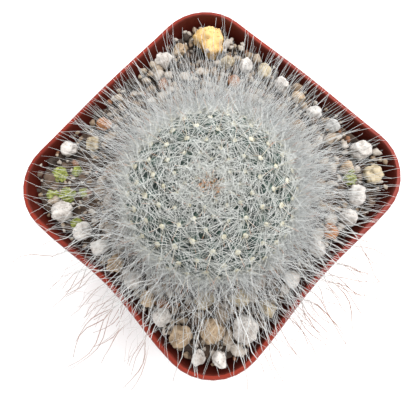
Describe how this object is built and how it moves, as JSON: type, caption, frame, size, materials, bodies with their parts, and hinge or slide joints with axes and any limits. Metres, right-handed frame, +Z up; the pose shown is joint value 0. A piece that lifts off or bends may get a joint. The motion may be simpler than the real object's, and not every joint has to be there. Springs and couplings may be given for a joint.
{
  "type": "potted cactus",
  "caption": "Globe-shaped old lady cactus with dense white spines and long hair, in dark compost with loose stones in a square plastic nursery pot.",
  "frame": {"origin": "middle of the pot's flat underside, on its round centre pad", "axes": "+Z up; X and Y square to the pot's walls; the picture is looked at from above the corner at -X -Y, with the corner at +X +Y at its top"},
  "size_m": [0.0759, 0.0755, 0.0899],
  "materials": {
    "pot_plastic": "satin",
    "compost": "matte",
    "cactus_skin": "matte",
    "stone_ochre": "matte",
    "stone_white": "matte",
    "stone_cream": "matte",
    "stone_tan": "matte",
    "stone_grey": "matte",
    "bark": "matte"
  },
  "bodies": {
    "root": {"pot": "pot_plastic", "soil": "compost", "cactus": "cactus_skin", "stone_ochre": "stone_ochre", "stone_cream_01": "stone_cream", "stone_tan_01": "stone_tan", "stone_white_01": "stone_white", "stone_white_02": "stone_white", "bark_chip_01": "bark", "stone_cream_02": "stone_cream", "stone_white_03": "stone_white", "stone_tan_02": "stone_tan", "stone_white_04": "stone_white", "stone_grey_01": "stone_grey", "stone_white_05": "stone_white", "stone_cream_03": "stone_cream", "stone_tan_03": "stone_tan", "stone_white_06": "stone_white", "stone_white_07": "stone_white", "bark_chip_02": "bark", "stone_white_08": "stone_white", "stone_white_09": "stone_white", "stone_cream_04": "stone_cream", "stone_cream_05": "stone_cream", "stone_white_10": "stone_white", "stone_tan_04": "stone_tan", "stone_cream_06": "stone_cream", "stone_tan_05": "stone_tan", "stone_white_11": "stone_white", "stone_white_12": "stone_white", "stone_white_13": "stone_white", "stone_tan_06": "stone_tan", "stone_white_14": "stone_white", "stone_tan_07": "stone_tan", "stone_white_15": "stone_white", "stone_white_16": "stone_white", "stone_white_17": "stone_white", "stone_white_18": "stone_white", "stone_cream_07": "stone_cream", "bark_chip_03": "bark"}
  },
  "joints": []
}
